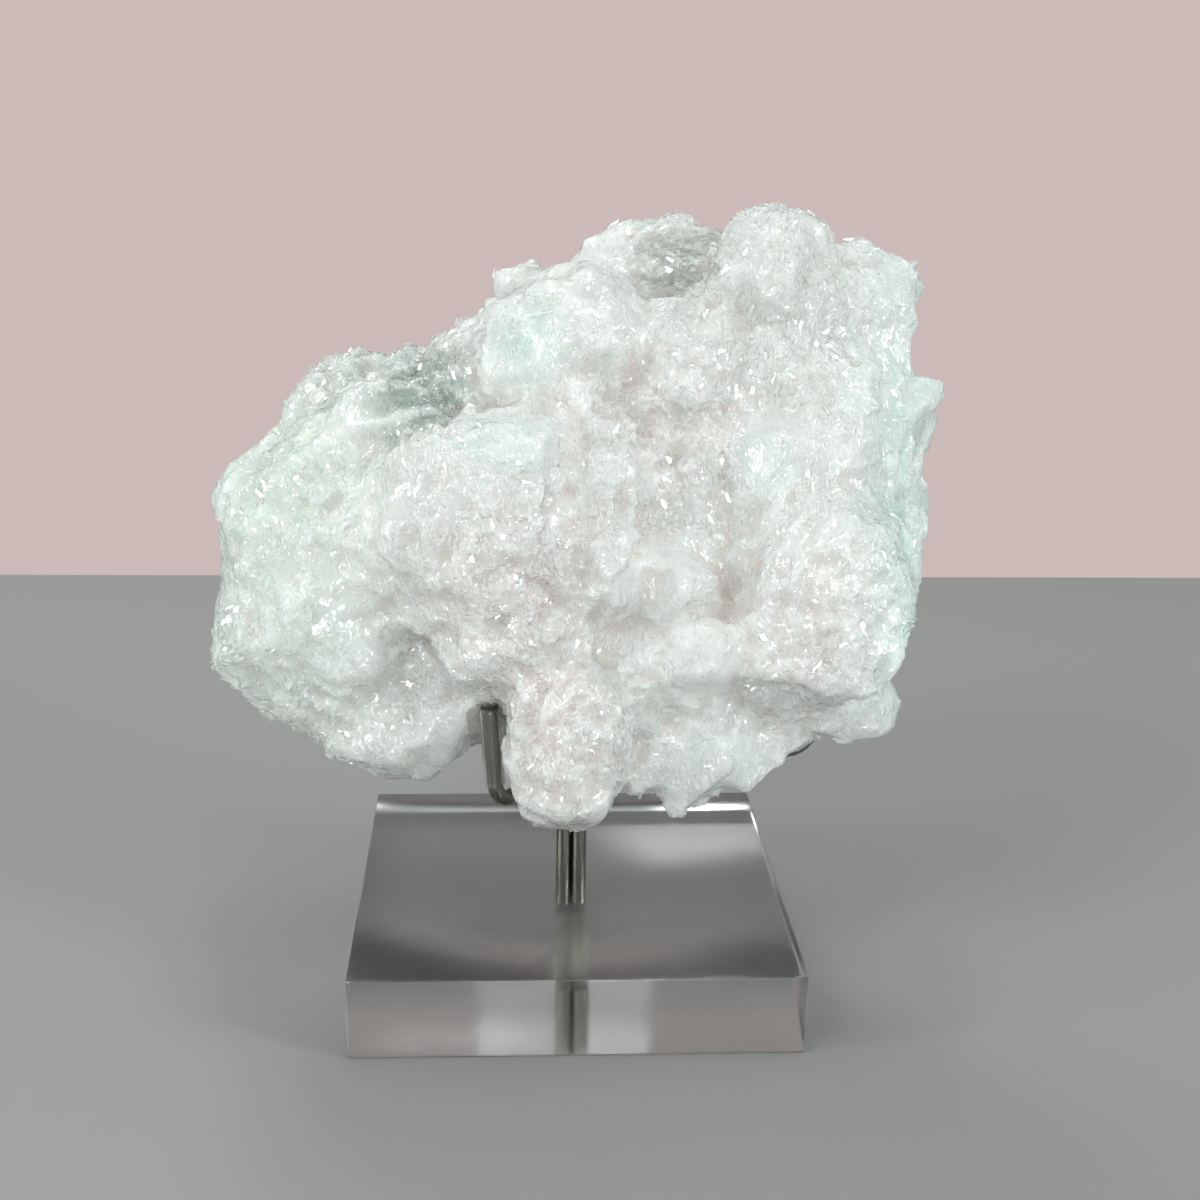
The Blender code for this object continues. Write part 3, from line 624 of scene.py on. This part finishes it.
def ripple_group():
    """Patches of wavy flakes that glint as wet ripples do: puts out their height."""
    group = bpy.data.node_groups.new("wavy flakes", "ShaderNodeTree")
    group_socket(group, "Flakes per metre", "INPUT", "NodeSocketFloat", 700.0)
    group_socket(group, "Patches per metre", "INPUT", "NodeSocketFloat", 90.0)
    group_socket(group, "Height", "OUTPUT", "NodeSocketFloat")
    nodes, links = group.nodes, group.links
    given = nodes.new("NodeGroupInput")
    result = nodes.new("NodeGroupOutput")
    spot = nodes.new("ShaderNodeTexCoord")
    long_way = nodes.new("ShaderNodeMapping")
    long_way.inputs["Rotation"].default_value = (0.5, 0.9, 0.2)
    long_way.inputs["Scale"].default_value = (1.0, 1.0, 0.5)
    waves = nodes.new("ShaderNodeTexNoise")
    waves.inputs["Detail"].default_value = 1.5
    waves.inputs["Distortion"].default_value = 1.4
    patch = nodes.new("ShaderNodeTexNoise")
    patch.inputs["Detail"].default_value = 4.0
    patch.inputs["Roughness"].default_value = 0.6
    both = nodes.new("ShaderNodeMath")
    both.operation = "MULTIPLY"
    links.new(spot.outputs["Object"], long_way.inputs["Vector"])
    links.new(long_way.outputs["Vector"], waves.inputs["Vector"])
    links.new(given.outputs["Flakes per metre"], waves.inputs["Scale"])
    links.new(spot.outputs["Object"], patch.inputs["Vector"])
    links.new(given.outputs["Patches per metre"], patch.inputs["Scale"])
    links.new(waves.outputs["Fac"], both.inputs[0])
    links.new(ramp(nodes, links, patch.outputs["Fac"], 0.46, 0.56, 0.15, 1.0), both.inputs[1])
    links.new(both.outputs["Value"], result.inputs["Height"])
    return group


def cleavage_group():
    """Curved, broken steps where cleavage planes meet the surface: their height, and their edges as the mask of a
    painted highlight.
    """
    group = bpy.data.node_groups.new("cleavage steps", "ShaderNodeTree")
    group_socket(group, "Bends per metre", "INPUT", "NodeSocketFloat", 200.0)
    group_socket(group, "Steps", "INPUT", "NodeSocketFloat", 12.0)
    group_socket(group, "Height", "OUTPUT", "NodeSocketFloat")
    group_socket(group, "Edges", "OUTPUT", "NodeSocketFloat")
    nodes, links = group.nodes, group.links
    given = nodes.new("NodeGroupInput")
    result = nodes.new("NodeGroupOutput")
    spot = nodes.new("ShaderNodeTexCoord")
    long_way = nodes.new("ShaderNodeMapping")
    long_way.inputs["Rotation"].default_value = (0.3, 0.6, 0.2)
    long_way.inputs["Scale"].default_value = (1.0, 1.0, 0.6)
    field = nodes.new("ShaderNodeTexNoise")
    field.inputs["Detail"].default_value = 3.0
    field.inputs["Roughness"].default_value = 0.6
    field.inputs["Distortion"].default_value = 0.6
    level = nodes.new("ShaderNodeMath")
    level.operation = "MULTIPLY"
    part = nodes.new("ShaderNodeMath")
    part.operation = "FRACT"
    whole = nodes.new("ShaderNodeMath")
    whole.operation = "FLOOR"
    total = nodes.new("ShaderNodeMath")
    total.operation = "ADD"
    patch = nodes.new("ShaderNodeTexNoise")
    patch.inputs["Scale"].default_value = 230.0
    patch.inputs["Detail"].default_value = 3.0
    shown = nodes.new("ShaderNodeMath")
    shown.operation = "MULTIPLY"
    links.new(spot.outputs["Object"], long_way.inputs["Vector"])
    links.new(long_way.outputs["Vector"], field.inputs["Vector"])
    links.new(given.outputs["Bends per metre"], field.inputs["Scale"])
    links.new(field.outputs["Fac"], level.inputs[0])
    links.new(given.outputs["Steps"], level.inputs[1])
    links.new(level.outputs["Value"], part.inputs[0])
    links.new(level.outputs["Value"], whole.inputs[0])
    links.new(whole.outputs["Value"], total.inputs[0])
    links.new(ramp(nodes, links, part.outputs["Value"], 0.0, 0.14, 0.0, 1.0), total.inputs[1])
    links.new(spot.outputs["Object"], patch.inputs["Vector"])
    links.new(ramp(nodes, links, part.outputs["Value"], 0.10, 0.24, 1.0, 0.0), shown.inputs[0])
    links.new(ramp(nodes, links, patch.outputs["Fac"], 0.49, 0.56, 0.0, 1.0), shown.inputs[1])
    links.new(total.outputs["Value"], result.inputs["Height"])
    links.new(shown.outputs["Value"], result.inputs["Edges"])
    return group


def calcite_finish():
    """Milky, faintly pink calcite with a wet gloss, and painted highlights that whiten the edges of its cleavage
    steps.
    """
    made, nodes, links, shader = new_material("milky_calcite")
    # vertex tint that carries painted shade and painted highlight
    tint = nodes.new("ShaderNodeAttribute")
    tint.attribute_name = "tint_and_painted_light"
    spot = nodes.new("ShaderNodeTexCoord")
    cloud = nodes.new("ShaderNodeTexNoise")
    cloud.inputs["Scale"].default_value = 140.0
    cloud.inputs["Detail"].default_value = 6.0
    cloud.inputs["Roughness"].default_value = 0.65
    links.new(spot.outputs["Object"], cloud.inputs["Vector"])
    cloudy = ramp(nodes, links, cloud.outputs["Fac"], 0.35, 0.65, 0.92, 1.05)
    shade = nodes.new("ShaderNodeVectorMath")
    shade.operation = "SCALE"
    links.new(tint.outputs["Color"], shade.inputs[0])
    links.new(cloudy, shade.inputs["Scale"])
    gloss = nodes.new("ShaderNodeTexNoise")
    gloss.inputs["Scale"].default_value = 260.0
    gloss.inputs["Detail"].default_value = 3.0
    links.new(spot.outputs["Object"], gloss.inputs["Vector"])
    links.new(ramp(nodes, links, gloss.outputs["Fac"], 0.35, 0.65, 0.05, 0.16), shader.inputs["Roughness"])
    flakes = nodes.new("ShaderNodeGroup")
    flakes.node_tree = ripple_group()
    flakes.inputs["Flakes per metre"].default_value = 700.0
    flakes.inputs["Patches per metre"].default_value = 90.0
    ripple = nodes.new("ShaderNodeBump")
    ripple.inputs["Distance"].default_value = 0.0012
    links.new(flakes.outputs["Height"], ripple.inputs["Height"])
    cleavage = cleavage_group()
    normal = ripple.outputs["Normal"]
    colour = shade.outputs["Vector"]
    # the last number of each row is how far a painted highlight whitens the step edges
    for bends, steps, height, white in ((170.0, 14.0, 0.00028, 0.85), (420.0, 9.0, 0.00012, 0.6)):
        lines = nodes.new("ShaderNodeGroup")
        lines.node_tree = cleavage
        lines.inputs["Bends per metre"].default_value = bends
        lines.inputs["Steps"].default_value = steps
        bump = nodes.new("ShaderNodeBump")
        bump.inputs["Distance"].default_value = height
        links.new(lines.outputs["Height"], bump.inputs["Height"])
        links.new(normal, bump.inputs["Normal"])
        normal = bump.outputs["Normal"]
        # painted highlight: the step edges whitened
        edge_highlight = nodes.new("ShaderNodeMix")
        edge_highlight.data_type = "RGBA"
        strength = ramp(nodes, links, lines.outputs["Edges"], 0.0, 1.0, 0.0, white)
        links.new(strength, edge_highlight.inputs["Factor"])
        links.new(colour, edge_highlight.inputs["A"])
        edge_highlight.inputs["B"].default_value = (*EDGE_HIGHLIGHT_COLOUR, 1.0)
        colour = edge_highlight.outputs["Result"]
    links.new(colour, shader.inputs["Base Color"])
    links.new(normal, shader.inputs["Normal"])
    shader.subsurface_method = "BURLEY"
    shader.inputs["IOR"].default_value = 1.658
    shader.inputs["Specular IOR Level"].default_value = 1.0
    shader.inputs["Transmission Weight"].default_value = 0.2
    shader.inputs["Subsurface Weight"].default_value = 1.0
    shader.inputs["Subsurface Radius"].default_value = (1.0, 0.92, 0.88)
    shader.inputs["Subsurface Scale"].default_value = 0.009
    return made


def steel_finish():
    """Drawn steel wire."""
    made, nodes, links, shader = new_material("drawn_steel")
    shader.inputs["Base Color"].default_value = (0.22, 0.21, 0.18, 1.0)
    shader.inputs["Metallic"].default_value = 1.0
    shader.inputs["Roughness"].default_value = 0.28
    return made


def clear_finish(name, roughness, ior, tint, density):
    """Clear plastic: plain transmission, with a faint body colour."""
    made, nodes, links, shader = new_material(name)
    shader.inputs["Base Color"].default_value = (1.0, 1.0, 1.0, 1.0)
    shader.inputs["Roughness"].default_value = roughness
    shader.inputs["IOR"].default_value = ior
    shader.inputs["Transmission Weight"].default_value = 1.0
    absorb = nodes.new("ShaderNodeVolumeAbsorption")
    absorb.inputs["Color"].default_value = (*tint, 1.0)
    absorb.inputs["Density"].default_value = density
    links.new(absorb.outputs["Volume"], nodes["Material Output"].inputs["Volume"])
    return made


def paper_finish():
    """White label paper."""
    made, nodes, links, shader = new_material("label_paper")
    shader.inputs["Base Color"].default_value = (0.93, 0.94, 0.93, 1.0)
    shader.inputs["Roughness"].default_value = 0.6
    shader.inputs["Subsurface Weight"].default_value = 1.0
    shader.inputs["Subsurface Radius"].default_value = (1.0, 1.0, 1.0)
    shader.inputs["Subsurface Scale"].default_value = 0.001
    return made


def plate_finish():
    """Clear cleavage plates, faintly milky."""
    made, nodes, links, shader = new_material("clear_plates")
    tint = nodes.new("ShaderNodeAttribute")
    tint.attribute_name = "tint_and_painted_light"
    links.new(tint.outputs["Color"], shader.inputs["Base Color"])
    shader.inputs["Roughness"].default_value = 0.08
    shader.inputs["IOR"].default_value = 1.658
    shader.inputs["Specular IOR Level"].default_value = 1.0
    shader.inputs["Transmission Weight"].default_value = 0.35
    return made


def add_cluster():
    """The stone, and the clear plates on it."""
    stone_mesh, plate_mesh = cluster_mesh()
    points = mesh_values(stone_mesh.vertices, "co", 3)
    # the stone's tint, with painted shade in its creases and clefts and painted highlight on its crests
    paint(stone_mesh, shade_and_highlight(stone_mesh, points, tinted(points)))
    # painted light: the plates paler than the stone under them
    paint(plate_mesh, PLATE_LIGHTENING * tinted(mesh_values(plate_mesh.vertices, "co", 3)))
    stone_mesh.shade_smooth()
    stone_mesh.set_sharp_from_angle(angle=math.radians(24))
    stone = link("calcite_crystals", stone_mesh, calcite_finish())
    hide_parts("calcite_cluster")
    for piece in (stone, link("cleavage_plates", plate_mesh, plate_finish())):
        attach(piece, "root")


def add_block(finish):
    """The clear block with the legs cast into it: bright polished edges, no bore to see."""
    low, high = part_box("clear_block")
    shape = bmesh.new()
    bmesh.ops.create_cube(shape, size=1.0)
    bmesh.ops.scale(shape, vec=Vector(high) - Vector(low), verts=shape.verts)
    bmesh.ops.translate(shape, vec=(Vector(high) + Vector(low)) / 2, verts=shape.verts)
    bmesh.ops.bevel(
        shape, geom=shape.edges[:], offset=BLOCK_EDGE, segments=3, profile=0.5, affect="EDGES", clamp_overlap=True,
    )
    mesh = bpy.data.meshes.new("clear_base")
    shape.to_mesh(mesh)
    shape.free()
    mesh.shade_smooth()
    mesh.set_sharp_from_angle(angle=math.radians(20))
    base = link("clear_base", mesh, finish)
    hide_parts("clear_block")
    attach(base, "root")


SLEEVE_SIDES = 32
DOME_STEPS = 6


def dome(radius, top, turned=1):
    """Half profile of a round end, as (radius, height), from its rim to its top."""
    steps = [math.pi / 2 * step / DOME_STEPS for step in range(DOME_STEPS + 1)]
    return [(radius * math.cos(angle), top - radius + radius * math.sin(angle)) for angle in steps][::turned]


def add_sleeve(name, plan, finish):
    """A clear tube with a round closed end, pushed over the end of its wire."""
    elbow, tip = Vector(plan["elbow"]) * MM, Vector(plan["tip"]) * MM
    upright = (tip - elbow).normalized()
    bottom = tip + upright * (SLEEVE_TOP - SLEEVE_LENGTH)
    outside = [(SLEEVE_DIAMETER / 2, 0.0)] + dome(SLEEVE_DIAMETER / 2, SLEEVE_LENGTH)
    inside = dome(SLEEVE_BORE, SLEEVE_LENGTH - SLEEVE_TOP / 2, -1) + [(SLEEVE_BORE, 0.0)]
    shape = bmesh.new()
    rows = []
    for radius, height in outside + inside:
        if radius < SLEEVE_BORE / 100:
            rows.append([shape.verts.new((0.0, 0.0, height))])
            continue
        angles = [2 * math.pi * step / SLEEVE_SIDES for step in range(SLEEVE_SIDES)]
        rows.append([shape.verts.new((radius * math.cos(a), radius * math.sin(a), height)) for a in angles])
    for low, high in zip(rows, rows[1:] + rows[:1]):
        for step in range(SLEEVE_SIDES):
            after = (step + 1) % SLEEVE_SIDES
            corners = [low[step % len(low)], low[after % len(low)], high[after % len(high)], high[step % len(high)]]
            corners = list(dict.fromkeys(corners))
            if len(corners) > 2:
                shape.faces.new(corners)
    bmesh.ops.recalc_face_normals(shape, faces=shape.faces)
    mesh = bpy.data.meshes.new(name)
    shape.to_mesh(mesh)
    shape.free()
    mesh.transform(Matrix.Translation(bottom) @ upright.to_track_quat("Z", "Y").to_matrix().to_4x4())
    mesh.shade_smooth()
    mesh.set_sharp_from_angle(angle=math.radians(50))
    made = link(name + "_tube", mesh, finish)
    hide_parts(name)
    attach(made, "root")


def add_camera():
    """The photograph's view."""
    data = bpy.data.cameras.new("view")
    data.lens = LENS
    data.sensor_width = SENSOR
    data.clip_start = 0.01
    made = bpy.data.objects.new("view", data)
    bpy.context.scene.collection.objects.link(made)
    turned = Matrix((RIGHT, UP, -AHEAD)).transposed().to_4x4()
    made.matrix_world = Matrix.Translation(EYE) @ turned
    bpy.context.scene.camera = made


def soft_light(name, at, aim, width, height, power, colour):
    """A soft box that faces a point."""
    data = bpy.data.lights.new(name, "AREA")
    data.shape = "RECTANGLE"
    data.size = width
    data.size_y = height
    data.energy = power
    data.color = colour
    made = bpy.data.objects.new(name, data)
    bpy.context.scene.collection.objects.link(made)
    made.location = at
    made.rotation_euler = (Vector(aim) - Vector(at)).to_track_quat("-Z", "Y").to_euler()


def add_studio():
    """A plain pale floor, a plain surround and soft light."""
    world = bpy.data.worlds.new("surround")
    bpy.context.scene.world = world
    world.use_nodes = True
    nodes, links = world.node_tree.nodes, world.node_tree.links
    light = nodes["Background"]
    light.inputs["Strength"].default_value = 0.55
    spot = nodes.new("ShaderNodeTexCoord")
    part = nodes.new("ShaderNodeSeparateXYZ")
    links.new(spot.outputs["Generated"], part.inputs["Vector"])
    darker = nodes.new("ShaderNodeMix")
    darker.data_type = "RGBA"
    darker.inputs["A"].default_value = (*SURROUND, 1.0)
    darker.inputs["B"].default_value = (*SURROUND_BEHIND, 1.0)
    links.new(ramp(nodes, links, part.outputs["Y"], *BEHIND, 0.0, 1.0), darker.inputs["Factor"])
    links.new(darker.outputs["Result"], light.inputs["Color"])
    seen = nodes.new("ShaderNodeBackground")
    seen.inputs["Color"].default_value = (*BACKDROP, 1.0)
    ray = nodes.new("ShaderNodeLightPath")
    choose = nodes.new("ShaderNodeMixShader")
    links.new(ray.outputs["Is Camera Ray"], choose.inputs[0])
    links.new(light.outputs["Background"], choose.inputs[1])
    links.new(seen.outputs["Background"], choose.inputs[2])
    links.new(choose.outputs["Shader"], nodes["World Output"].inputs["Surface"])
    aim = (0.0, 0.0, 0.085)
    soft_light("key", (-0.45, -0.50, 0.70), aim, 0.26, 0.26, 1.75, (1.0, 1.0, 0.98))
    soft_light("top", (0.05, 0.10, 0.95), aim, 0.26, 0.26, 0.8, (0.97, 1.0, 1.0))
    soft_light("right", (0.70, -0.40, 0.40), aim, 0.20, 0.24, 2.6, (0.96, 1.0, 1.0))
    soft_light("left", (-0.75, -0.25, 0.25), aim, 0.20, 0.24, 2.2, (0.96, 1.0, 0.98))
    soft_light("back", (-0.20, 0.55, 0.75), aim, 0.30, 0.26, 1.8, (1.0, 0.98, 0.97))
    soft_light("low", (0.15, -0.80, 0.06), aim, 0.30, 0.16, 2.3, (1.0, 1.0, 1.0))
    mesh = bpy.data.meshes.new("floor")
    mesh.from_pydata([(-2, -2, 0), (2, -2, 0), (2, FLOOR_BACK, 0), (-2, FLOOR_BACK, 0)], [], [(0, 1, 2, 3)])
    made, nodes, links, shader = new_material("pale_floor")
    shader.inputs["Base Color"].default_value = (0.29, 0.288, 0.283, 1.0)
    shader.inputs["Roughness"].default_value = 0.6
    ground = link("floor", mesh, made)
    ground.location.z = -0.0002


def main():
    bpy.context.scene.view_settings.view_transform = "Standard"
    add_camera()
    add_studio()
    add_cluster()
    clear = clear_finish("clear_acrylic", 0.13, 1.49, (0.90, 0.95, 0.95), 1.0)
    steel = steel_finish()
    sleeve = clear_finish("clear_silicone", 0.12, 1.41, (0.9, 0.92, 0.9), 10.0)
    paper = paper_finish()
    add_block(clear)
    finishes = {"blank_label": paper}
    for name, plan in WIRES.items():
        finishes[name] = steel
        add_sleeve(name.replace("wire", "sleeve"), plan, sleeve)
    for name, finish in finishes.items():
        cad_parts[name].data.materials.clear()
        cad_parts[name].data.materials.append(finish)


main()
